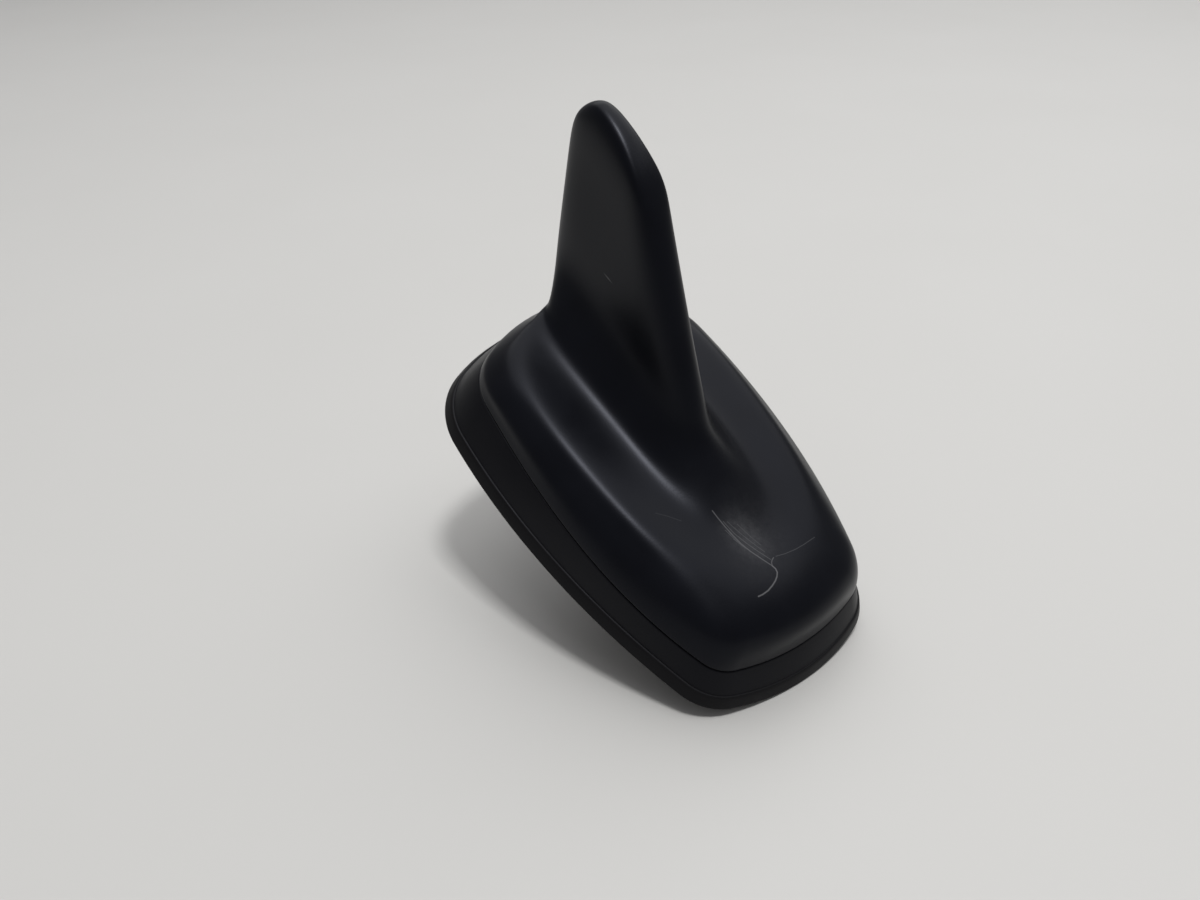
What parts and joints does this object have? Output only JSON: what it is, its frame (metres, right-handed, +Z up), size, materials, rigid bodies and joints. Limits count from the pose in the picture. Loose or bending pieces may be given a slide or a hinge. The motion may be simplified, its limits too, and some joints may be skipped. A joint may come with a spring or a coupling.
{
  "type": "vehicle roof antenna",
  "caption": "Fin-shaped roof antenna: a swept moulded fin on a bowed base, with a flared lower frame, a rubber seal, a hollow threaded stud, a toothed earth washer and a roof nut.",
  "frame": {"origin": "on the hollow stud's axis, in the plane of the roof skin that the seal rests on", "axes": "+X towards the vehicle's front, where the base is lowest; +Y to the left; +Z up, away from the roof"},
  "size_m": [0.1115, 0.0734, 0.0921],
  "materials": {
    "cover_plastic": "satin moulded, black",
    "frame_plastic": "satin moulded, black",
    "seal_rubber": "dull, black",
    "plate_alloy": "die-cast, bare",
    "stud_steel": "zinc plated",
    "clip_plastic": "moulded, black",
    "washer_steel": "zinc plated",
    "nut_steel": "zinc plated",
    "bush_rubber": "dull, black",
    "board_laminate": "green solder mask",
    "patch_ceramic": "fired, bare",
    "patch_silver": "fired silver",
    "pin_metal": "tinned",
    "can_tin": "tinned",
    "fin_laminate": "green solder mask",
    "radiator_copper": "bare copper foil",
    "bracket_plastic": "moulded, natural",
    "spring_metal": "gold flashed",
    "socket_metal": "gold flashed",
    "chip_resin": "moulded resin",
    "foam": "cellular",
    "board_screw_steel": "zinc plated",
    "cover_screw_steel": "zinc plated"
  },
  "bodies": {
    "root": {"cover": "cover_plastic", "lower_frame": "frame_plastic", "base_seal": "seal_rubber", "base_plate": "plate_alloy", "mounting_stud": "stud_steel", "centring_clip": "clip_plastic", "earth_washer": "washer_steel", "roof_nut": "nut_steel", "cable_bush": "bush_rubber", "main_board": "board_laminate", "ceramic_patch": "patch_ceramic", "patch_electrode": "patch_silver", "patch_pin": "pin_metal", "shield_can": "can_tin", "fin_board": "fin_laminate", "fin_radiator": "radiator_copper", "board_bracket": "bracket_plastic", "feed_spring": "spring_metal", "coax_sockets": "socket_metal", "board_chips": "chip_resin", "foam_pad": "foam", "board_screws": "board_screw_steel", "cover_screws": "cover_screw_steel"}
  },
  "joints": []
}
